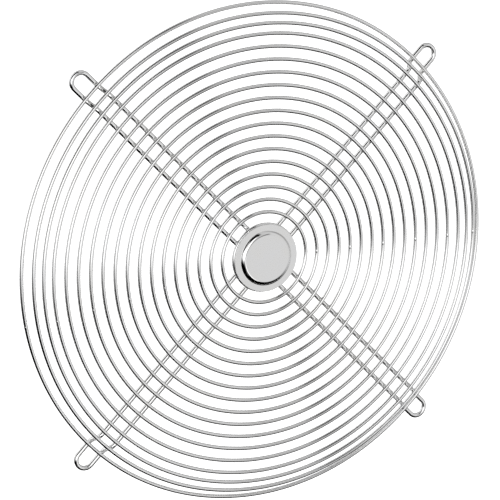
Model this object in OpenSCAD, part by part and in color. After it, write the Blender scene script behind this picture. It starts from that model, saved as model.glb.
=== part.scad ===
// Round wire fan guard: concentric rings welded across four hairpin ribs, with a pressed hub disc.
// The guard lies on the undersides of its four eyes at z = 0, its front faces +Z,
// and the ribs point along +X, +Y, -X and -Y from the origin.

/* [Wires] */
// Diameter of the ring wire
ring_wire = 2.0; // [1.6:0.1:2.6]
// Diameter of the rib wire
rib_wire = 2.5; // [2:0.1:3.2]
// Gap left between a wire and what it is welded to
seat_gap = 0.02; // [0.01:0.01:0.1]

/* [Face rings] */
// Centreline radius of the first ring outside the hub
first_ring_r = 23.3; // [21:0.1:30]
// Distance between neighbouring face rings, centre to centre
face_pitch = 6.4; // [5.6:0.1:7.4]
// Number of face rings outside the hub
face_rings = 15; // [8:1:18]

/* [Rim rings] */
// Distance from the last face ring to the first rim ring
rim_step = 5.1; // [4:0.1:6.5]
// Distance between neighbouring rim rings, seen from the front
rim_pitch = 4.7; // [4:0.1:6]

/* [Ribs and eyes] */
// Clear width between the two legs of a rib, which is the width of its eye
eye_width = 6.7; // [5:0.1:8]
// Distance from the outermost ring to the centre of an eye's round end
eye_reach = 6.75; // [5.5:0.25:9]
// How far the eyes are set back behind the flat run of the ribs
set_back = 5.0; // [4:0.25:7]
// Centreline radius of both set-back bends
bend_r = 4.0; // [3.2:0.1:5]
// Straight run of a leg from the first rim ring to the set-back bend
bend_run = 1.1; // [0.5:0.1:2]
// How far each leg reaches in past the hub ring
leg_inset = 3.0; // [1.5:0.1:5]

/* [Hub disc] */
// Sheet thickness of the hub disc
hub_sheet = 1.0; // [0.6:0.1:1.4]
// How far the hub disc covers the hub ring's centreline
hub_cover = 0.4; // [0.1:0.1:0.9]
// Width of the flat flange round the boss
flange_width = 3.2; // [2.5:0.1:4]
// Height of the pressed boss over the flange
boss_rise = 1.25; // [1:0.05:2]
// Inside radius of the boss's rounded shoulder
shoulder_r = 1.6; // [0.8:0.1:2]
// Inside radius of the bend where the boss meets the flange
root_r = 0.3; // [0.2:0.05:0.8]
// Radius of the rolled-over blanking edge
blank_edge_r = 0.15; // [0.1:0.05:0.4]

/* [Butt welds] */
// Length of the upset where a ring's ends are butt welded
butt_length = 1.4; // [0.8:0.1:2.5]
// How far the upset stands out from the ring wire
butt_proud = 0.08; // [0.04:0.01:0.2]

/* [Hidden] */
$fn = 48;
RIBS = 4;
RIM_RINGS = 3;
// The set-back slopes down by four for every three along.
SLOPE_ANGLE = atan2(4, 3);
// Share of the boss's rise that is straight wall; its two bends take up the rest.
WALL_SHARE = 0.05;
PLATE = [0.80, 0.81, 0.83];

// Centrelines of the two legs lie this far to each side of a rib's own axis.
leg_offset = (eye_width + rib_wire) / 2;

// Heights of the rib wire's centreline, at the eyes and along the flat run.
eye_z = rib_wire / 2;
leg_z = eye_z + set_back;

// Centre distance of a ring wire and the rib wire that it is welded to.
weld_reach = (ring_wire + rib_wire) / 2 + seat_gap;

// Ring radii, counted outwards: the hub ring is one pitch inside the first face ring.
hub_ring_r = first_ring_r - face_pitch;
last_face_r = first_ring_r + (face_rings - 1) * face_pitch;
rim_r = last_face_r + rim_step + (RIM_RINGS - 1) * rim_pitch;

function face_r(i) = first_ring_r + (i - 1) * face_pitch;
function rim_ring_r(i) = last_face_r + rim_step + (i - 1) * rim_pitch;

// Distance along a rib at which its legs cross a ring of radius r.
function crossing_x(r) = sqrt(r * r - leg_offset * leg_offset);

// The set-back along a rib: upper bend from x0 to x1, slope to x2, lower bend to x3.
slope_length = (set_back - 2 * bend_r * (1 - cos(SLOPE_ANGLE))) / sin(SLOPE_ANGLE);
bend_x0 = crossing_x(rim_ring_r(1)) + bend_run;
bend_x1 = bend_x0 + bend_r * sin(SLOPE_ANGLE);
bend_x2 = bend_x1 + slope_length * cos(SLOPE_ANGLE);
bend_x3 = bend_x2 + bend_r * sin(SLOPE_ANGLE);

// Both ends of a rib: the cut ends of its legs under the hub, and the centre of its round end.
leg_end_x = crossing_x(hub_ring_r) - leg_inset;
eye_x = max(rim_r, bend_x3) + eye_reach;

// Height at which a ring's centreline seats on the front of the legs, at x along the rib:
// the legs' own path, moved out by weld_reach square to the wire.
function seat_on_upper_bend(x) =
    leg_z - bend_r + sqrt(pow(bend_r + weld_reach, 2) - pow(x - bend_x0, 2));
function seat_on_slope(x) =
    leg_z - bend_r * (1 - cos(SLOPE_ANGLE)) + weld_reach * cos(SLOPE_ANGLE)
    - (x - bend_x1 - weld_reach * sin(SLOPE_ANGLE)) * tan(SLOPE_ANGLE);
function seat_on_lower_bend(x) =
    eye_z + bend_r - sqrt(pow(bend_r - weld_reach, 2) - pow(bend_x3 - x, 2));
function seat_z(x) =
    x <= bend_x0 ? leg_z + weld_reach :
    x <= bend_x1 + weld_reach * sin(SLOPE_ANGLE) ? seat_on_upper_bend(x) :
    x <= bend_x2 + weld_reach * sin(SLOPE_ANGLE) ? seat_on_slope(x) :
    x <= bend_x3 ? seat_on_lower_bend(x) :
    eye_z + weld_reach;
function ring_z(r) = seat_z(crossing_x(r));

// Ring ends are butt welded clear of the ribs, at three stations taken in turn.
function butt_angle(n) = 45 + (n % 3 == 1 ? 90 : n % 3 == 0 ? 190 : 0);

// Names: face rings are counted outwards from the hub, rim rings outwards from the last of those.
function two_digits(i) = i < 10 ? str("0", i) : str(i);
function face_name(i) = str("face_ring_", two_digits(i));
function rim_name(i) = str("rim_ring_", i);
function rib_name(i) = str("rib_", i);

// One closed ring of round wire, seated on the front of the legs.
module wire_ring(r) {
    color(PLATE)
        translate([0, 0, ring_z(r)])
            rotate_extrude()
                translate([r, 0]) circle(d = ring_wire);
}

// Slight upset left where the ends of a ring are butt welded.
module butt_weld(r, station) {
    upset_angle = butt_length / r * 180 / PI;
    color(PLATE)
        translate([0, 0, ring_z(r)])
            rotate_extrude(start = butt_angle(station) - upset_angle / 2, angle = upset_angle)
                translate([r, 0]) circle(d = ring_wire + 2 * butt_proud);
}

// Straight length of rib wire along +X.
module straight(length) {
    rotate([0, 90, 0]) cylinder(d = rib_wire, h = length);
}

// Set-back bend that starts at the origin along +X and turns down; its children go on from its end.
// A quarter bend is cut off at the slope, so that its end meets the next length exactly.
module bend_down() {
    reach = bend_r + rib_wire;
    translate([0, 0, -bend_r]) {
        intersection() {
            rotate([90, 0, 0])
                rotate_extrude(angle = 90)
                    translate([bend_r, 0]) circle(d = rib_wire);
            rotate([0, SLOPE_ANGLE, 0])
                translate([-reach, -rib_wire, 0]) cube([reach, 2 * rib_wire, reach]);
        }
        rotate([0, SLOPE_ANGLE, 0])
            translate([0, 0, bend_r]) children();
    }
}

// One leg of a rib, from its cut end under the hub to the end of the straight side of its eye,
// where its children go on.
module leg() {
    translate([bend_x0, 0, leg_z]) {
        mirror([1, 0, 0]) straight(bend_x0 - leg_end_x);
        bend_down() {
            straight(slope_length);
            translate([slope_length, 0, 0])
                mirror([0, 0, 1])
                    bend_down() {
                        straight(eye_x - bend_x3);
                        translate([eye_x - bend_x3, 0, 0]) children();
                    }
        }
    }
}

// Hairpin rib number i: two legs joined by the round end of the eye.
module rib(i) {
    color(PLATE)
        rotate([0, 0, (i - 1) * 360 / RIBS]) {
            translate([0, leg_offset, 0]) leg();
            translate([0, -leg_offset, 0]) leg()
                translate([0, leg_offset, 0])
                    rotate([0, 0, -90])
                        rotate_extrude(angle = 180)
                            translate([leg_offset, 0]) circle(d = rib_wire);
        }
}

hub_r = hub_ring_r + hub_cover;
hub_z = ring_z(hub_ring_r) + ring_wire / 2 + seat_gap;
boss_foot_r = hub_r - flange_width;
// The wall between the boss's two bends, for the top face of the sheet.
bends_r = shoulder_r + hub_sheet + root_r;
wall_rise = WALL_SHARE * boss_rise;
wall_slope = acos(1 - (boss_rise - wall_rise) / bends_r);
boss_top_r = boss_foot_r - bends_r * sin(wall_slope) - wall_rise / tan(wall_slope);

// Half section of everything below the disc's top face, lowered square to the sheet by depth.
module under_face(depth) {
    outer_r = shoulder_r + hub_sheet - depth;
    inner_r = root_r + depth;
    shoulder = [boss_top_r, hub_sheet + boss_rise - depth - outer_r];
    root = [boss_foot_r, hub_sheet - depth + inner_r];
    floor_y = -2 * hub_sheet;
    square_to_wall = [sin(wall_slope), cos(wall_slope)];
    difference() {
        union() {
            polygon([
                [0, floor_y], [hub_r, floor_y], [hub_r, hub_sheet - depth], [root[0], hub_sheet - depth],
                root - inner_r * square_to_wall, shoulder + outer_r * square_to_wall,
                [shoulder[0], shoulder[1] + outer_r], [0, shoulder[1] + outer_r]
            ]);
            intersection() {
                translate(shoulder) circle(r = outer_r);
                translate(shoulder) square(2 * outer_r);
            }
        }
        intersection() {
            translate(root) circle(r = inner_r);
            translate([root[0] - 2 * inner_r, root[1] - 2 * inner_r]) square(2 * inner_r);
        }
    }
}

// Round hub disc of pressed sheet, with a raised boss and a rolled-over outer edge.
module hub_disc() {
    color(PLATE)
        translate([0, 0, hub_z])
            difference() {
                rotate_extrude(convexity = 4)
                    difference() {
                        under_face(0);
                        under_face(hub_sheet);
                    }
                rotate_extrude()
                    difference() {
                        translate([hub_r - blank_edge_r, hub_sheet - blank_edge_r]) square(2 * blank_edge_r);
                        translate([hub_r - blank_edge_r, hub_sheet - blank_edge_r]) circle(r = blank_edge_r);
                    }
            }
}

// Innermost ring, which carries the hub disc; its butt weld is dressed flush so that the disc lies flat.
module hub_ring() {
    wire_ring(hub_ring_r);
}

module face_ring(i) {
    wire_ring(face_r(i));
    butt_weld(face_r(i), i);
}

module rim_ring(i) {
    wire_ring(rim_ring_r(i));
    butt_weld(rim_ring_r(i), face_rings + i);
}

hub_disc();
hub_ring();
for (i = [1:face_rings])
    face_ring(i);
for (i = [1:RIM_RINGS])
    rim_ring(i);
for (i = [1:RIBS])
    rib(i);
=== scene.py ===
import functools
import math
import random

import bmesh
import bpy
from bpy.props import FloatProperty, IntProperty, PointerProperty, StringProperty
from mathutils import Matrix, Vector


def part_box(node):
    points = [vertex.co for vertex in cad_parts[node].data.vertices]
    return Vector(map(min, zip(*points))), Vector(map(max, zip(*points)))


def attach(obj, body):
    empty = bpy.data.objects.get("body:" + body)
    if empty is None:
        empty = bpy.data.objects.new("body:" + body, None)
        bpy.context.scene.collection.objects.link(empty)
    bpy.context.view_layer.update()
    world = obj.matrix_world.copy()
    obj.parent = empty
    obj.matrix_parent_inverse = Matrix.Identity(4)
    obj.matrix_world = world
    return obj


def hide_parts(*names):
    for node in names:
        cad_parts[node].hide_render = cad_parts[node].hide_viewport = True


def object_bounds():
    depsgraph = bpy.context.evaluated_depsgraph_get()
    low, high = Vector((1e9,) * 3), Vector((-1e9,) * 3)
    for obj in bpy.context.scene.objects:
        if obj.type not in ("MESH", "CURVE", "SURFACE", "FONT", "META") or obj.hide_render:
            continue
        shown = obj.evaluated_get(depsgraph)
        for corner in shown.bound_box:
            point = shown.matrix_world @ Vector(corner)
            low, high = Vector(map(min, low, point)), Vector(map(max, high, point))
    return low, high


bl_info = {
    "name": "Wire Fan Guard",
    "version": (1, 0, 0),
    "blender": (4, 5, 0),
    "location": "View3D > Sidebar > Fan Guard",
    "description": "Dresses the wire fan guard: rings, ribs, hub disc, welds and stage",
    "category": "Object",
}

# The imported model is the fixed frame. Every place below is read from its nodes, in metres.
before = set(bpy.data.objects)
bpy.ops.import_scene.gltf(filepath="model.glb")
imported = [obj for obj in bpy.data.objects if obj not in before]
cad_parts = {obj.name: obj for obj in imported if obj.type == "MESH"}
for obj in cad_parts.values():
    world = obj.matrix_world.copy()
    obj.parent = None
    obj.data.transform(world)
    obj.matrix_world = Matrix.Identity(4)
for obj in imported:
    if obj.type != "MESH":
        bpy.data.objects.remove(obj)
CAD_LOW, CAD_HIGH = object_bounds()
BODY = "root"
MM = 0.001
QUARTER_TURN = math.pi / 2

DISC_NODE = "hub_disc"
HUB_RING_NODE = "hub_ring"
RIB_NODES = sorted(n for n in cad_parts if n.startswith("rib_"))
RING_NODES = sorted(set(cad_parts) - set(RIB_NODES) - {DISC_NODE})


# ---------------------------------------------------------------------------------------------
# What the frame says: ring wire, rings, and the path of a rib
# ---------------------------------------------------------------------------------------------


# Vertices of a rib belong to its cut end, or to the flat of its leg, within these distances.
CUT_END_DEPTH = 0.1 * MM
FLAT_TOLERANCE = 0.0005 * MM


class Wires:
    """Sizes of the guard's wires and rings, measured on the CAD nodes."""

    def __init__(self):
        low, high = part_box(HUB_RING_NODE)
        self.ring_wire = high.z - low.z
        self.rings = {n: self.ring(n) for n in RING_NODES}

        low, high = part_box(RIB_NODES[0])
        points = [v.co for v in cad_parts[RIB_NODES[0]].data.vertices]
        cut_end = [p for p in points if p.x < low.x + CUT_END_DEPTH]
        self.rib_wire = high.z - min(p.z for p in cut_end)
        self.leg_offset = high.y - self.rib_wire / 2
        self.leg_end = low.x
        self.leg_height = high.z - self.rib_wire / 2
        self.eye_height = low.z + self.rib_wire / 2
        self.eye_centre = high.x - self.rib_wire / 2 - self.leg_offset
        # The flat run of a leg ends where its underside leaves the flat.
        self.bend_start = max(p.x for p in points if p.z > high.z - FLAT_TOLERANCE)

    def ring(self, node):
        """Centreline radius and height of a ring. The upset of its butt weld widens the box on one
        side only, so the radius comes from the narrowest of the four sides."""
        low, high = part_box(node)
        radius = min(-low.x, high.x, -low.y, high.y) - self.ring_wire / 2
        return radius, (low.z + high.z) / 2


@functools.cache
def measured_wires():
    """The guard's wires, measured once."""
    return Wires()


# Fewest steps along a leg's straight run, round a set-back bend and round the eye.
MIN_STRAIGHT_STEPS = 2
MIN_BEND_STEPS = 4
MIN_EYE_STEPS = 8
# Steps along each straight side of the eye.
EYE_SIDE_STEPS = 3


def rib_path(wires, sizes):
    """The rib wire's centreline along +X, as (point, tangent, up) from one cut end to the other:
    out along one leg, down the set-back, round the eye and back along the other leg."""
    slope = math.radians(sizes.slope)
    bend = sizes.bend_radius
    drop = wires.leg_height - wires.eye_height
    slope_run = (drop - 2 * bend * (1 - math.cos(slope))) / math.sin(slope)
    step = math.radians(sizes.bend_step)
    leg = []

    def add(x, z, angle):
        """Adds a cross-section at x, z where the leg slopes down by angle."""
        tangent = Vector((math.cos(angle), 0, -math.sin(angle)))
        leg.append((Vector((x, 0, z)), tangent, Vector((math.sin(angle), 0, math.cos(angle)))))

    straight_steps = max(MIN_STRAIGHT_STEPS, round((wires.bend_start - wires.leg_end) / sizes.straight_step))
    for i in range(straight_steps):
        x = wires.leg_end + (wires.bend_start - wires.leg_end) * i / straight_steps
        add(x, wires.leg_height, 0)
    turns = max(MIN_BEND_STEPS, round(slope / step))
    for i in range(turns + 1):
        a = slope * i / turns
        add(wires.bend_start + bend * math.sin(a), wires.leg_height - bend * (1 - math.cos(a)), a)
    slope_x = wires.bend_start + bend * math.sin(slope) + slope_run * math.cos(slope)
    slope_z = wires.eye_height + bend * (1 - math.cos(slope))
    for i in range(turns + 1):
        a = slope * (1 - i / turns)
        x = slope_x + bend * (math.sin(slope) - math.sin(a))
        z = slope_z - bend * (math.cos(a) - math.cos(slope))
        add(x, z, a)
    lower_end = leg[-1][0].x
    for i in range(1, EYE_SIDE_STEPS):
        add(lower_end + (wires.eye_centre - lower_end) * i / EYE_SIDE_STEPS, wires.eye_height, 0)

    side = Vector((0, wires.leg_offset, 0))
    path = [(p - side, t, u) for p, t, u in leg]
    eye = Vector((wires.eye_centre, 0, wires.eye_height))
    turns = max(MIN_EYE_STEPS, round(math.pi / step))
    for i in range(turns + 1):
        a = -math.pi / 2 + math.pi * i / turns
        out = Vector((math.cos(a), math.sin(a), 0))
        path.append((eye + out * wires.leg_offset, Vector((-out.y, out.x, 0)), Vector((0, 0, 1))))
    path += [(p + side, -t, u) for p, t, u in reversed(leg)]
    return path


# ---------------------------------------------------------------------------------------------
# Meshes
# ---------------------------------------------------------------------------------------------

# A vertex attribute: the point's place in its wire's cross-section. The draw lines follow it.
SECTION = "section"


def new_piece(name, bm, materials):
    """A smooth-shaded object made from bm, riding on the guard's one body."""
    mesh = bpy.data.meshes.new(name)
    bmesh.ops.recalc_face_normals(bm, faces=bm.faces)
    bm.to_mesh(mesh)
    bm.free()
    for face in mesh.polygons:
        face.use_smooth = True
    for material in materials:
        mesh.materials.append(material)
    piece = bpy.data.objects.new(name, mesh)
    bpy.context.scene.collection.objects.link(piece)
    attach(piece, BODY)
    return piece


def section(bm, centre, side, up, radius, sides):
    """One round cross-section of wire, each point marked with its place in it."""
    place = bm.verts.layers.float_vector.get(SECTION) or bm.verts.layers.float_vector.new(SECTION)
    points = []
    for k in range(sides):
        a = 2 * math.pi * k / sides
        x, y = radius * math.cos(a), radius * math.sin(a)
        point = bm.verts.new(centre + side * x + up * y)
        point[place] = Vector((x, y, 0))
        points.append(point)
    return points


def skin(bm, rows, closed):
    """Joins neighbouring rows of vertices with quads."""
    count = len(rows) if closed else len(rows) - 1
    for i in range(count):
        a, b = rows[i], rows[(i + 1) % len(rows)]
        for k in range(len(a)):
            j = (k + 1) % len(a)
            bm.faces.new((a[k], a[j], b[j], b[k]))


# Fewest cross-sections of a ring, and how many lie on each side of its butt weld's middle.
MIN_RING_STEPS = 96
BUTT_WELD_STEPS = 8
# Decimals that an angle in radians is rounded to.
ANGLE_DECIMALS = 9


def ring_angles(radius, weld_angle, upset_angle, step):
    """Angles of a ring's cross-sections, set closer together at its butt weld."""
    coarse = max(MIN_RING_STEPS, round(2 * math.pi * radius / step))
    angles = {round(2 * math.pi * i / coarse, ANGLE_DECIMALS) for i in range(coarse)}
    stations = range(-BUTT_WELD_STEPS, BUTT_WELD_STEPS + 1)
    close = [weld_angle + upset_angle * i / BUTT_WELD_STEPS for i in stations]
    low, high = close[0], close[-1]
    kept = {a for a in angles if not low <= a <= high}
    return sorted(kept | {a % (2 * math.pi) for a in close})


# A ring has an upset if vertices stand at least this far out of its wire, and the upset's middle is
# worked out from the vertices that come this near to the furthest one.
UPSET_LEAST = 0.02 * MM
UPSET_BAND = 0.01 * MM


def weld_angle_of(node, wires):
    """Where a ring's ends are butt welded: the vertices that stand out furthest. None on the hub
    ring, whose weld is dressed flush."""
    radius, height = wires.rings[node]

    def proud(p):
        """Distance of a point from the ring's centreline."""
        return math.hypot(math.hypot(p.x, p.y) - radius, p.z - height)

    points = [v.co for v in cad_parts[node].data.vertices]
    most = max(proud(p) for p in points)
    if most < wires.ring_wire / 2 + UPSET_LEAST:
        return None
    swollen = [p for p in points if proud(p) > most - UPSET_BAND]
    x = sum(p.x for p in swollen)
    y = sum(p.y for p in swollen)
    return math.atan2(y, x) % (2 * math.pi)


# How fast an upset runs out into the wire, and the depth and width of the pinch in its middle, as
# shares of the upset's height and half length.
UPSET_FALL = 1.5
PINCH_DEPTH = 0.7
PINCH_WIDTH = 0.16


def build_ring(node, wires, sizes, material):
    """A closed ring of drawn wire. The upset of its butt weld is a smooth swelling with a fine
    pinch where the two ends met."""
    radius, height = wires.rings[node]
    weld = weld_angle_of(node, wires)
    upset = sizes.upset_length / radius
    angles = ring_angles(radius, weld if weld is not None else math.pi / 4, upset, sizes.ring_step)
    bm = bmesh.new()
    rows = []
    for a in angles:
        out = Vector((math.cos(a), math.sin(a), 0))
        swell = 0.0
        if weld is not None:
            off = (a - weld + math.pi) % (2 * math.pi) - math.pi
            along = abs(off) / (upset / 2)
            swell = sizes.upset_proud * max(0.0, 1 - along**2) ** UPSET_FALL
            swell *= 1 - PINCH_DEPTH * math.exp(-((along / PINCH_WIDTH) ** 2))
        centre = out * radius + Vector((0, 0, height))
        wire = wires.ring_wire / 2 + swell
        rows.append(section(bm, centre, out, Vector((0, 0, 1)), wire, sizes.wire_sides))
    skin(bm, rows, closed=True)
    ring = new_piece("dressed_" + node, bm, [material])
    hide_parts(node)
    return ring


# The rolled edge of a cut end, from its face inwards: depth, and how much thinner the wire is there,
# as shares of the rounding.
CUT_END_EDGE = ((0, 1), (0.08, 0.62), (0.3, 0.3), (0.62, 0.08), (1, 0))


def build_rib(node, index, wires, sizes, materials):
    """A hairpin rib: one round wire along rib_path. Its cut ends have a rolled edge and a flat,
    sheared face."""
    bm = bmesh.new()
    rows = []
    sides = sizes.wire_sides
    radius = wires.rib_wire / 2
    path = rib_path(wires, sizes)
    for i, (point, tangent, up) in enumerate(path):
        side = up.cross(tangent)
        if i in (0, len(path) - 1):
            into = 1 if i == 0 else -1
            ends = []
            for depth, less in CUT_END_EDGE:
                centre = point + tangent * (into * sizes.cut_round * depth)
                ends.append(section(bm, centre, side, up, radius - sizes.cut_round * less, sides))
            rows += ends if i == 0 else ends[::-1]
        else:
            rows.append(section(bm, point, side, up, radius, sides))
    skin(bm, rows, closed=False)
    for row in (rows[0], rows[-1]):
        bm.faces.new(row).material_index = 1
    rib = new_piece("dressed_" + node, bm, materials)
    rib.data.transform(Matrix.Rotation(QUARTER_TURN * index, 4, "Z"))
    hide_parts(node)
    return rib


# Times that the search for the nearest point narrows its stretch of the leg to two thirds.
NEAREST_ROUNDS = 24


def crossing(path, ring_radius, ring_height):
    """The point of a leg's centreline nearest to a ring, as (point, leg tangent, towards the ring)."""

    def towards(p):
        """The way from p to the ring's centreline."""
        flat = Vector((p.x, p.y, 0))
        return flat.normalized() * ring_radius + Vector((0, 0, ring_height)) - p

    best = None
    for (a, ta, _), (b, tb, _) in zip(path, path[1:]):
        low, high = 0.0, 1.0
        for _ in range(NEAREST_ROUNDS):
            m1, m2 = low + (high - low) / 3, high - (high - low) / 3
            if towards(a.lerp(b, m1)).length < towards(a.lerp(b, m2)).length:
                high = m2
            else:
                low = m1
        share = (low + high) / 2
        p = a.lerp(b, share)
        gap = towards(p).length
        if best is None or gap < best[0]:
            best = (gap, p, ta.lerp(tb, share).normalized(), towards(p).normalized())
    return best[1:]


FILLET_SIDES = 20
# From the leg up to the ring: share of the wedge's height, and how far the flank is drawn in.
FILLET_LEVELS = (
    (-0.1, 0.0), (0.06, 0.05), (0.24, 0.15), (0.5, 0.2), (0.76, 0.15), (0.94, 0.05), (1.1, 0.0),
)
# How far the middles of a fillet's two caps lie inside the wires.
FILLET_SUNK = 0.05 * MM
# How much a fillet's size varies round it: in two lobes, and in the finer lobes drawn for it.
FILLET_SKEW = 0.16
FILLET_RIPPLE = 0.08


def weld_fillet(bm, point, along, up, wires, reach, draws):
    """One resistance weld: the metal squeezed out between a leg and the ring that crosses it. It
    closes the wedge between the two round wires with a hollow flank. reach is the height of the
    wedge at its rim."""
    ring_r, leg_r = wires.ring_wire / 2, wires.rib_wire / 2
    up = (up - along * up.dot(along)).normalized()
    touch = point + up * leg_r
    ring_along = Vector((-touch.y, touch.x, 0)).normalized()
    across = up.cross(along)
    phase, lobes = draws
    rows = [[] for _ in FILLET_LEVELS]
    for k in range(FILLET_SIDES):
        a = 2 * math.pi * k / FILLET_SIDES
        way = along * math.cos(a) + across * math.sin(a)
        from_ring = abs(way.dot(up.cross(ring_along)))
        from_leg = abs(way.dot(across))
        skew = FILLET_SKEW * math.sin(2 * a + phase)
        ripple = FILLET_RIPPLE * math.sin(lobes * a - phase)
        wedge = reach * (1 + skew + ripple)
        rim = math.sqrt(2 * wedge / (from_ring**2 / ring_r + from_leg**2 / leg_r))
        ring_drop = ring_r - math.sqrt(ring_r**2 - (rim * from_ring) ** 2)
        leg_drop = leg_r - math.sqrt(leg_r**2 - (rim * from_leg) ** 2)
        for row, (share, hollow) in zip(rows, FILLET_LEVELS):
            level = -leg_drop + (ring_drop + leg_drop) * share
            row.append(bm.verts.new(touch + way * (rim * (1 - hollow)) + up * level))
    skin(bm, rows, closed=False)
    for row, sign in ((rows[0], -1), (rows[-1], 1)):
        middle = bm.verts.new(sum((v.co for v in row), Vector()) / len(row) + up * (sign * FILLET_SUNK))
        for k in range(len(row)):
            bm.faces.new((row[k], row[(k + 1) % len(row)], middle))


# Points of a rib's path are on a leg if they lie this far out, as a share of the leg's offset.
LEG_SIDE = 0.9
# How much welds differ in size, and how many finer lobes one may have.
WELD_SPREAD = (0.85, 1.2)
WELD_LOBES = (3, 5)


def build_welds(node, index, wires, sizes, material):
    """The welds between one rib and the rings that cross its two legs, as one piece."""
    path = rib_path(wires, sizes)
    leg = [row for row in path if row[0].y > LEG_SIDE * wires.leg_offset][::-1]
    draw = random.Random(index + 1)
    bm = bmesh.new()
    for ring in RING_NODES:
        radius, height = wires.rings[ring]
        point, along, up = crossing(leg, radius, height)
        for side in (1, -1):
            mirror = Vector((1, side, 1))
            reach = sizes.weld_reach * draw.uniform(*WELD_SPREAD)
            draws = (draw.uniform(0, 2 * math.pi), draw.choice(WELD_LOBES))
            weld_fillet(bm, point * mirror, along * mirror, up * mirror, wires, reach, draws)
    welds = new_piece("welds_" + node, bm, [material])
    welds.data.transform(Matrix.Rotation(QUARTER_TURN * index, 4, "Z"))
    return welds


def arc(x, z, radius, first, last, steps):
    """Points of an arc in the disc's section, angles in degrees from the outward axis."""
    turn = [math.radians(first + (last - first) * i / steps) for i in range(steps + 1)]
    return [(x + radius * math.cos(a), z + radius * math.sin(a)) for a in turn]


# Share of the boss's rise that is straight wall; its two bends take up the rest.
WALL_SHARE = 0.05
# Steps of the disc's section.
BOSS_TOP_STEPS = 6
SHOULDER_STEPS = 18
FOOT_STEPS = 10
FLANGE_STEPS = 4
EDGE_STEPS = 6
UNDERSIDE_STEPS = 12


def disc_section(sizes):
    """The pressed disc's section from the axis outwards over the top, and back underneath."""
    low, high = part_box(DISC_NODE)
    outer = (high.x - low.x) / 2
    sheet, edge = sizes.disc_sheet, sizes.disc_edge
    foot = outer - sizes.disc_flange
    rise = high.z - low.z - sheet
    crown, root = sizes.disc_shoulder, sizes.disc_root
    slope = math.degrees(math.acos(1 - (1 - WALL_SHARE) * rise / (crown + root)))
    lean = math.radians(slope)
    flat = foot - (crown + root) * math.sin(lean) - WALL_SHARE * rise / math.tan(lean)
    top, floor = low.z + sheet, low.z
    section_points = [(flat * i / BOSS_TOP_STEPS, high.z) for i in range(BOSS_TOP_STEPS)]
    section_points += arc(flat, high.z - crown, crown, 90, 90 - slope, SHOULDER_STEPS)
    section_points += arc(foot, top + root, root, 270 - slope, 270, FOOT_STEPS)
    for i in range(1, FLANGE_STEPS):
        section_points.append((foot + (outer - edge - foot) * i / FLANGE_STEPS, top))
    section_points += arc(outer - edge, top - edge, edge, 90, 0, EDGE_STEPS)
    # The blanking punch leaves a fine chamfer of break-out on the underside.
    section_points += [(outer, floor + sizes.disc_break), (outer - sizes.disc_break, floor)]
    section_points += arc(foot, floor + root + sheet, root + sheet, 270, 270 - slope, UNDERSIDE_STEPS)
    section_points += arc(flat, high.z - crown, crown - sheet, 90 - slope, 90, UNDERSIDE_STEPS)
    for i in reversed(range(BOSS_TOP_STEPS)):
        section_points.append((flat * i / BOSS_TOP_STEPS, high.z - sheet))
    return section_points


# Vertices this near are one, edges this short go, and creases sharper than this angle stay sharp.
MERGE_DISTANCE = 0.001 * MM
SHORTEST_EDGE = 0.0005 * MM
SHARP_DEGREES = 40


def build_disc(sizes, material):
    """The pressed hub disc, turned from its section."""
    profile = disc_section(sizes)
    bm = bmesh.new()
    rows = []
    for i in range(sizes.disc_turns):
        a = 2 * math.pi * i / sizes.disc_turns
        rows.append([bm.verts.new((r * math.cos(a), r * math.sin(a), z)) for r, z in profile])
    for a, b in zip(rows, rows[1:] + rows[:1]):
        for k in range(len(profile) - 1):
            bm.faces.new((a[k], b[k], b[k + 1], a[k + 1]))
    bmesh.ops.remove_doubles(bm, verts=bm.verts, dist=MERGE_DISTANCE)
    bmesh.ops.dissolve_degenerate(bm, edges=bm.edges, dist=SHORTEST_EDGE)
    disc = new_piece("pressed_hub_disc", bm, [material])
    disc.data.set_sharp_from_angle(angle=math.radians(SHARP_DEGREES))
    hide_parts(DISC_NODE)
    return disc


# ---------------------------------------------------------------------------------------------
# Materials
# ---------------------------------------------------------------------------------------------


def linear(colour):
    """Linear RGBA of an sRGB hex colour such as "#c8ccd0"."""
    channels = [int(colour[i:i + 2], 16) / 255 for i in (1, 3, 5)]
    return (*[c / 12.92 if c <= 0.04045 else ((c + 0.055) / 1.055) ** 2.4 for c in channels], 1.0)


def add_node(tree, kind, inputs=(), **settings):
    """Adds a node, sets its properties, and sets or links its inputs, given as
    {name or number: value or socket}."""
    made = tree.nodes.new(kind)
    for key, value in settings.items():
        setattr(made, key, value)
    for key, value in dict(inputs).items():
        if isinstance(value, bpy.types.NodeSocket):
            tree.links.new(value, made.inputs[key])
        else:
            made.inputs[key].default_value = value
    return made


def new_material(name):
    """A new material and its emptied node tree."""
    material = bpy.data.materials.new(name)
    material.use_nodes = True
    material.node_tree.nodes.clear()
    return material, material.node_tree


def per_metre(size):
    """Noise scale whose features are about size metres across."""
    return 1 / size


# The drift is a noise whose values lie mostly in this range. The gloss follows it between these
# multiples of the plate's roughness.
DRIFT_RANGE = (0.3, 0.7)
HAZE_RANGE = (0.8, 1.3)


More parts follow.
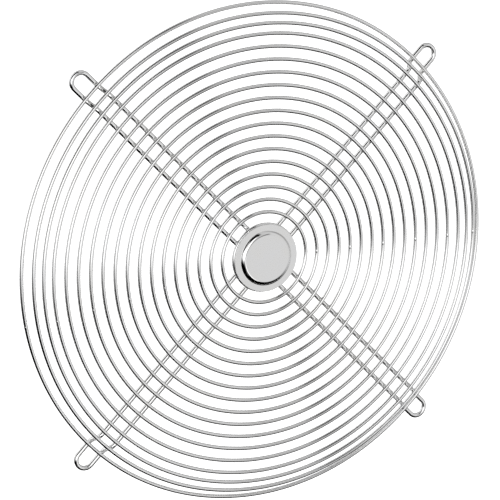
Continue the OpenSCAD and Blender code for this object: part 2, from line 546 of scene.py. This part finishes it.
def plate(tree, finish, roughness, patch, normal):
    """The nickel-chrome plate shared by all of the guard: its colour drifts a little between the
    bluer chrome and the nickel under it, and its gloss drifts between bright and faintly hazed
    patches. Both are slow, one patch to every few rings."""
    place = add_node(tree, "ShaderNodeTexCoord").outputs["Object"]
    drift = add_node(tree, "ShaderNodeTexNoise", {
        "Vector": place, "Scale": per_metre(patch), "Detail": 2.0, "Roughness": 0.5,
    }).outputs["Fac"]
    colour = add_node(tree, "ShaderNodeMix", {
        "Factor": drift, 6: linear(finish.chrome_colour), 7: linear(finish.nickel_colour),
    }, data_type="RGBA").outputs[2]
    haze = add_node(tree, "ShaderNodeMapRange", {
        "Value": drift, "From Min": DRIFT_RANGE[0], "From Max": DRIFT_RANGE[1],
        "To Min": roughness * HAZE_RANGE[0], "To Max": roughness * HAZE_RANGE[1],
    }).outputs["Result"]
    bsdf = add_node(tree, "ShaderNodeBsdfPrincipled", {
        "Base Color": colour, "Metallic": 1.0, "Roughness": haze, "Normal": normal,
    })
    add_node(tree, "ShaderNodeOutputMaterial", {"Surface": bsdf.outputs["BSDF"]})


# How far a draw line runs along the wire before it fades into another.
DRAW_LINE_RUN = 14 * MM


def plate_on_drawn_wire(finish):
    """Bright nickel-chrome plate on cold-drawn mild steel wire. The die leaves fine lines along the
    wire, which the plate only half levels: they break up the long highlights a little. The real
    lines are some 0.05 mm apart; they are drawn 0.16 mm apart, the finest that shows up close."""
    material, tree = new_material("bright_nickel_chrome_on_drawn_wire")
    place = add_node(tree, "ShaderNodeAttribute", attribute_name=SECTION).outputs["Vector"]
    along = add_node(tree, "ShaderNodeTexCoord").outputs["Object"]
    slow = add_node(tree, "ShaderNodeVectorMath", {
        0: along, 1: (finish.draw_line / DRAW_LINE_RUN,) * 3,
    }, operation="MULTIPLY").outputs["Vector"]
    lines_at = add_node(tree, "ShaderNodeVectorMath", {
        0: place, 1: slow,
    }, operation="ADD").outputs["Vector"]
    lines = add_node(tree, "ShaderNodeTexNoise", {
        "Vector": lines_at, "Scale": per_metre(finish.draw_line), "Detail": 3.0, "Roughness": 0.6,
    }).outputs["Fac"]
    wavy = add_node(tree, "ShaderNodeTexNoise", {
        "Vector": along, "Scale": per_metre(9 * MM), "Detail": 1.0,
    }).outputs["Fac"]
    relief = add_node(tree, "ShaderNodeBump", {
        "Height": wavy, "Strength": 0.25, "Distance": 0.02 * MM,
    }).outputs["Normal"]
    relief = add_node(tree, "ShaderNodeBump", {
        "Height": lines, "Normal": relief, "Strength": 0.35, "Distance": 0.004 * MM,
    }).outputs["Normal"]
    plate(tree, finish, finish.wire_roughness, 26 * MM, relief)
    return material


def plate_on_pressed_sheet(finish):
    """Bright nickel-chrome plate on a deep-drawn steel disc. Pressing stretches the sheet unevenly,
    so its mirror is a little wavy over some 6 mm, with a fine orange peel on top."""
    material, tree = new_material("bright_nickel_chrome_on_pressed_sheet")
    place = add_node(tree, "ShaderNodeTexCoord").outputs["Object"]
    waves = add_node(tree, "ShaderNodeTexNoise", {
        "Vector": place, "Scale": per_metre(6 * MM), "Detail": 1.0,
    }).outputs["Fac"]
    peel = add_node(tree, "ShaderNodeTexNoise", {
        "Vector": place, "Scale": per_metre(0.6 * MM), "Detail": 2.0,
    }).outputs["Fac"]
    relief = add_node(tree, "ShaderNodeBump", {
        "Height": waves, "Strength": 0.4, "Distance": 0.05 * MM,
    }).outputs["Normal"]
    relief = add_node(tree, "ShaderNodeBump", {
        "Height": peel, "Normal": relief, "Strength": 0.2, "Distance": 0.004 * MM,
    }).outputs["Normal"]
    plate(tree, finish, finish.disc_roughness, 8 * MM, relief)
    return material


def plate_on_weld(finish):
    """The same plate over squeezed-out weld metal, which no polish reaches: lumpy over 0.4 mm, with a
    satin gloss that catches the light as a small soft spot at each crossing."""
    material, tree = new_material("satin_nickel_chrome_on_weld")
    place = add_node(tree, "ShaderNodeTexCoord").outputs["Object"]
    lumps = add_node(tree, "ShaderNodeTexNoise", {
        "Vector": place, "Scale": per_metre(0.4 * MM), "Detail": 3.0, "Roughness": 0.6,
    }).outputs["Fac"]
    relief = add_node(tree, "ShaderNodeBump", {
        "Height": lumps, "Strength": 0.6, "Distance": 0.05 * MM,
    }).outputs["Normal"]
    plate(tree, finish, finish.weld_roughness, 3 * MM, relief)
    return material


# The pattern of scores is squeezed by this along the upright, which draws them out.
SCORE_STRETCH = 0.12


def plate_on_sheared_end(finish):
    """The same plate over the sheared end of a rib wire: the shear leaves upright scores some 0.2 mm
    apart, so the face looks brushed and duller than the drawn surface."""
    material, tree = new_material("dull_nickel_chrome_on_sheared_end")
    place = add_node(tree, "ShaderNodeTexCoord").outputs["Object"]
    upright = add_node(tree, "ShaderNodeMapping", {
        "Vector": place, "Scale": (1, 1, SCORE_STRETCH),
    }).outputs["Vector"]
    scores = add_node(tree, "ShaderNodeTexNoise", {
        "Vector": upright, "Scale": per_metre(0.2 * MM), "Detail": 2.0,
    }).outputs["Fac"]
    relief = add_node(tree, "ShaderNodeBump", {
        "Height": scores, "Strength": 0.7, "Distance": 0.03 * MM,
    }).outputs["Normal"]
    plate(tree, finish, finish.cut_roughness, 3 * MM, relief)
    return material


# ---------------------------------------------------------------------------------------------
# Stage
# ---------------------------------------------------------------------------------------------


def card(tree, direction, below, azimuth, elevation, half_width, half_height, soft, level):
    """Lays one soft-edged oval card of the studio over the light level below it. Angles in degrees."""
    seen = add_node(tree, "ShaderNodeMapping", {
        "Vector": direction,
        "Rotation": (0, -math.radians(elevation), math.radians(azimuth)),
        "Scale": (1, math.sin(math.radians(half_width)), math.sin(math.radians(half_height))),
    }, vector_type="TEXTURE")
    axes = add_node(tree, "ShaderNodeSeparateXYZ", {0: seen.outputs[0]})
    across = add_node(tree, "ShaderNodeCombineXYZ", {"Y": axes.outputs["Y"], "Z": axes.outputs["Z"]})
    distance = add_node(tree, "ShaderNodeVectorMath", {0: across.outputs[0]}, operation="LENGTH")
    inside = add_node(tree, "ShaderNodeMapRange", {
        "Value": distance.outputs["Value"],
        "From Min": 1 - soft, "From Max": 1 + soft, "To Min": 1.0, "To Max": 0.0,
    }, interpolation_type="SMOOTHSTEP")
    ahead = add_node(tree, "ShaderNodeMath", {0: axes.outputs["X"], 1: 0.0}, operation="GREATER_THAN")
    share = add_node(tree, "ShaderNodeMath", {
        0: inside.outputs["Result"], 1: ahead.outputs[0],
    }, operation="MULTIPLY")
    mixed = add_node(tree, "ShaderNodeMix", {0: share.outputs[0], 2: below, 3: level}, data_type="FLOAT")
    return mixed.outputs[0]


# The studio that the plate mirrors, in the order its cards are laid over each other:
# azimuth, elevation, half width, half height (degrees), edge softness, level.
CARDS = {
    "pale ceiling and walls": (0, 89, 89, 89, 0.05, 0.57),
    "bright window wall": (54, 42, 46, 18, 0.5, 0.7),
    "large black flag": (304, 8, 66, 61, 0.1, 0.0),
    "narrow black flag": (148, 38, 18, 35, 0.2, 0.0),
    "dark doorway": (190, 13, 44, 21, 0.3, 0.04),
    "key light": (220, 60, 16, 36, 0.2, 1.5),
    "strip light overhead": (194, 72, 30, 12, 0.2, 1.6),
    "white card low at the front": (186, -33, 38, 18, 0.3, 1.3),
    "white card low at the side": (338, -57, 38, 16, 0.2, 1.6),
    "grey card under the window": (72, -2, 44, 15, 0.3, 0.35),
    "grey gap in the ceiling": (14, 76, 40, 6, 0.3, 0.2),
    "grey ceiling panel": (14, 60, 16, 9, 0.3, 0.72),
    "slit light": (345, 64, 7, 12, 0.2, 1.3),
}


# Light of the room behind the cards, below and above the horizon, and how far each way it blends.
ROOM_BELOW = 0.4
ROOM_ABOVE = 0.63
ROOM_BLEND = 0.5


def build_studio(stage):
    """The world: soft cards and flags for the plate to mirror, and a plain backdrop for the camera."""
    world = bpy.data.worlds.new("soft_studio")
    bpy.context.scene.world = world
    world.use_nodes = True
    tree = world.node_tree
    tree.nodes.clear()
    direction = add_node(tree, "ShaderNodeTexCoord").outputs["Generated"]
    height = add_node(tree, "ShaderNodeSeparateXYZ", {0: direction}).outputs["Z"]
    level = add_node(tree, "ShaderNodeMapRange", {
        "Value": height, "From Min": -ROOM_BLEND, "From Max": ROOM_BLEND,
        "To Min": ROOM_BELOW, "To Max": ROOM_ABOVE,
    }, interpolation_type="SMOOTHSTEP").outputs["Result"]
    for row in CARDS.values():
        level = card(tree, direction, level, *row)
    seen = add_node(tree, "ShaderNodeLightPath").outputs["Is Camera Ray"]
    shown = add_node(tree, "ShaderNodeMix", {
        0: seen, 2: level, 3: stage.backdrop_level,
    }, data_type="FLOAT")
    background = add_node(tree, "ShaderNodeBackground", {"Color": shown.outputs[0], "Strength": 1.0})
    add_node(tree, "ShaderNodeOutputWorld", {"Surface": background.outputs[0]})


FLOOR_SIDES = 96


def build_floor(stage):
    """The floor: a glowing light table under the eyes, which the plate doesn't mirror."""
    bm = bmesh.new()
    bmesh.ops.create_circle(bm, cap_ends=True, segments=FLOOR_SIDES, radius=stage.floor_radius)
    bmesh.ops.translate(bm, verts=bm.verts, vec=(0, 0, CAD_LOW.z))
    mesh = bpy.data.meshes.new("floor")
    bm.to_mesh(mesh)
    bm.free()
    floor = bpy.data.objects.new("floor", mesh)
    bpy.context.scene.collection.objects.link(floor)
    material, tree = new_material("opal_light_table")
    bsdf = add_node(tree, "ShaderNodeBsdfPrincipled", {
        "Base Color": linear(stage.floor_colour), "Roughness": 0.9, "Specular IOR Level": 0.0,
        "Emission Color": linear("#ffffff"), "Emission Strength": stage.floor_glow,
    })
    add_node(tree, "ShaderNodeOutputMaterial", {"Surface": bsdf.outputs["BSDF"]})
    mesh.materials.append(material)
    floor.visible_glossy = False
    return floor


SENSOR_WIDTH = 36.0
CLIP_RANGE = (0.01, 100.0)


def build_camera(stage):
    """The camera, aimed near the middle of the hub ring."""
    data = bpy.data.cameras.new("camera")
    camera = bpy.data.objects.new("camera", data)
    bpy.context.scene.collection.objects.link(camera)
    data.sensor_width = SENSOR_WIDTH
    data.lens = stage.lens
    data.clip_start, data.clip_end = CLIP_RANGE
    azimuth, elevation = math.radians(stage.view_azimuth), math.radians(stage.view_elevation)
    flat, rise = math.cos(elevation), math.sin(elevation)
    back = Vector((math.cos(azimuth) * flat, math.sin(azimuth) * flat, rise))
    level = Vector((-math.sin(azimuth), math.cos(azimuth), 0))
    roll = math.radians(stage.view_roll)
    right = level * math.cos(roll) + back.cross(level) * math.sin(roll)
    up = back.cross(right)
    hub_height = measured_wires().rings[HUB_RING_NODE][1]
    aim = Vector((0, 0, hub_height)) + right * stage.aim_right + up * stage.aim_up
    at = aim + back * stage.view_distance
    camera.matrix_world = Matrix((
        (right.x, up.x, back.x, at.x),
        (right.y, up.y, back.y, at.y),
        (right.z, up.z, back.z, at.z),
        (0, 0, 0, 1),
    ))
    bpy.context.scene.camera = camera
    return camera


# ---------------------------------------------------------------------------------------------
# Settings
# ---------------------------------------------------------------------------------------------


def length(name, description, millimetres):
    """A length setting, given in millimetres and kept in metres."""
    return FloatProperty(
        name=name, description=description, default=millimetres * MM, unit="LENGTH", precision=5)


def degrees(name, description, default):
    """An angle setting in degrees."""
    return FloatProperty(name=name, description=description + ", in degrees", default=default)


def factor(name, description, default):
    """A setting from nothing to all."""
    return FloatProperty(name=name, description=description, default=default, subtype="FACTOR")


def hex_colour(name, description, default):
    """A colour setting as an sRGB hex value."""
    return StringProperty(name=name, description="sRGB hex colour of " + description, default=default)


class GuardSizes(bpy.types.PropertyGroup):
    """Sizes of the detail that the rings, ribs, welds and disc get over the CAD."""

    ring_step: length("Ring step", "Spacing of a ring's cross-sections", 1.5)
    straight_step: length("Straight step", "Spacing of a leg's cross-sections", 4)
    bend_step: degrees("Bend step", "Turn between cross-sections in a bend", 4.0)
    wire_sides: IntProperty(name="Wire sides", description="Faces round the wire", default=20, min=8)
    bend_radius: length("Bend radius", "Centreline radius of the set-back bends", 4)
    slope: degrees("Slope", "Slope of the set-back", math.degrees(math.atan2(4, 3)))
    cut_round: length("Cut rounding", "Rolled edge of a rib's cut ends", 0.2)
    upset_length: length("Upset length", "Length of a ring's butt weld", 1.4)
    upset_proud: length("Upset height", "How far a butt weld stands out of the wire", 0.07)
    weld_reach: length("Weld reach", "Height of the wedge that a crossing's weld fills at its rim", 0.3)
    disc_sheet: length("Disc sheet", "Sheet thickness of the hub disc", 1)
    disc_flange: length("Disc flange", "Width of the flat flange round the boss", 3.2)
    disc_shoulder: length("Disc shoulder", "Outside radius of the boss's shoulder", 2.6)
    disc_root: length("Disc root", "Radius of the bend at the boss's foot", 0.3)
    disc_edge: length("Disc edge", "Radius of the rolled-over blanking edge", 0.15)
    disc_break: length("Disc break-out", "Chamfer of the blanking break-out underneath", 0.08)
    disc_turns: IntProperty(
        name="Disc turns", description="Steps round the hub disc", default=256, min=64)


class GuardFinish(bpy.types.PropertyGroup):
    """Colours and gloss of the plate."""

    chrome_colour: hex_colour("Chrome colour", "the bright chrome", "#f3f4f6")
    nickel_colour: hex_colour("Nickel colour", "the nickel that shows through", "#f3f2ef")
    wire_roughness: factor("Wire roughness", "Roughness of the plate on the wires", 0.08)
    disc_roughness: factor("Disc roughness", "Roughness of the plate on the disc", 0.07)
    weld_roughness: factor("Weld roughness", "Roughness of the plate on the welds", 0.28)
    cut_roughness: factor("Cut roughness", "Roughness of the plate on the cut ends", 0.34)
    draw_line: length("Draw line", "Spacing of the draw lines on the wires", 0.16)


class GuardStage(bpy.types.PropertyGroup):
    """Floor, light and camera."""

    floor_radius: length("Floor radius", "Radius of the floor", 6000)
    floor_colour: hex_colour("Floor colour", "the floor", "#f6f6f6")
    floor_glow: FloatProperty(
        name="Floor glow", description="Light that comes up through the light table", default=1.0)
    backdrop_level: FloatProperty(
        name="Backdrop level", description="Brightness of the plain backdrop", default=1.0)
    lens: FloatProperty(
        name="Lens", description="Focal length in millimetres", default=165.46, unit="CAMERA")
    view_azimuth: degrees("View azimuth", "Camera azimuth from +X", 194.1)
    view_elevation: degrees("View elevation", "Camera elevation", 59.95)
    view_roll: degrees("View roll", "Roll about the view axis", 117.84)
    view_distance: length("View distance", "Camera distance", 1149)
    aim_right: length("Aim right", "Aim point right of the guard's centre", -7.19)
    aim_up: length("Aim up", "Aim point above the guard's centre", 3.61)


# ---------------------------------------------------------------------------------------------
# Operators
# ---------------------------------------------------------------------------------------------


class GUARD_OT_stage(bpy.types.Operator):
    """Set up the floor, the studio light and the camera"""

    bl_idname = "guard.stage"
    bl_label = "Stage"

    def execute(self, context):
        stage = context.scene.guard_stage
        build_camera(stage)
        build_studio(stage)
        build_floor(stage)
        context.scene.view_settings.view_transform = "Standard"
        # The wires are thin, and a denoiser smears the fine lines that they mirror.
        context.scene.cycles.use_denoising = False
        return {"FINISHED"}


class GUARD_OT_rings(bpy.types.Operator):
    """Build the closed rings of plated wire"""

    bl_idname = "guard.rings"
    bl_label = "Rings"

    def execute(self, context):
        material = plate_on_drawn_wire(context.scene.guard_finish)
        for node in RING_NODES:
            build_ring(node, measured_wires(), context.scene.guard_sizes, material)
        return {"FINISHED"}


class GUARD_OT_ribs(bpy.types.Operator):
    """Build the hairpin ribs with their mounting eyes"""

    bl_idname = "guard.ribs"
    bl_label = "Ribs"

    def execute(self, context):
        finish = context.scene.guard_finish
        materials = [plate_on_drawn_wire(finish), plate_on_sheared_end(finish)]
        for index, node in enumerate(RIB_NODES):
            build_rib(node, index, measured_wires(), context.scene.guard_sizes, materials)
        return {"FINISHED"}


class GUARD_OT_welds(bpy.types.Operator):
    """Build the resistance welds between rings and ribs"""

    bl_idname = "guard.welds"
    bl_label = "Welds"

    def execute(self, context):
        material = plate_on_weld(context.scene.guard_finish)
        for index, node in enumerate(RIB_NODES):
            build_welds(node, index, measured_wires(), context.scene.guard_sizes, material)
        return {"FINISHED"}


class GUARD_OT_disc(bpy.types.Operator):
    """Build the pressed hub disc"""

    bl_idname = "guard.disc"
    bl_label = "Hub disc"

    def execute(self, context):
        build_disc(context.scene.guard_sizes, plate_on_pressed_sheet(context.scene.guard_finish))
        return {"FINISHED"}


class GUARD_PT_panel(bpy.types.Panel):
    """Lists the steps that dress the guard"""

    bl_idname = "GUARD_PT_panel"
    bl_label = "Fan Guard"
    bl_space_type = "VIEW_3D"
    bl_region_type = "UI"
    bl_category = "Fan Guard"

    def draw(self, context):
        for step in STEPS:
            self.layout.operator(step.bl_idname)


STEPS = (GUARD_OT_stage, GUARD_OT_rings, GUARD_OT_ribs, GUARD_OT_welds, GUARD_OT_disc)
SETTINGS = {"guard_sizes": GuardSizes, "guard_finish": GuardFinish, "guard_stage": GuardStage}
CLASSES = (*SETTINGS.values(), *STEPS, GUARD_PT_panel)


def register():
    """Registers the classes and puts the settings on the scene."""
    for cls in CLASSES:
        bpy.utils.register_class(cls)
    for name, group in SETTINGS.items():
        setattr(bpy.types.Scene, name, PointerProperty(type=group))


def unregister():
    """Takes away what register put in place."""
    for name in SETTINGS:
        delattr(bpy.types.Scene, name)
    for cls in reversed(CLASSES):
        bpy.utils.unregister_class(cls)


def main():
    """Dresses the guard step by step."""
    register()
    bpy.ops.guard.stage()
    bpy.ops.guard.rings()
    bpy.ops.guard.ribs()
    bpy.ops.guard.welds()
    bpy.ops.guard.disc()


if __name__ == "__main__":
    main()
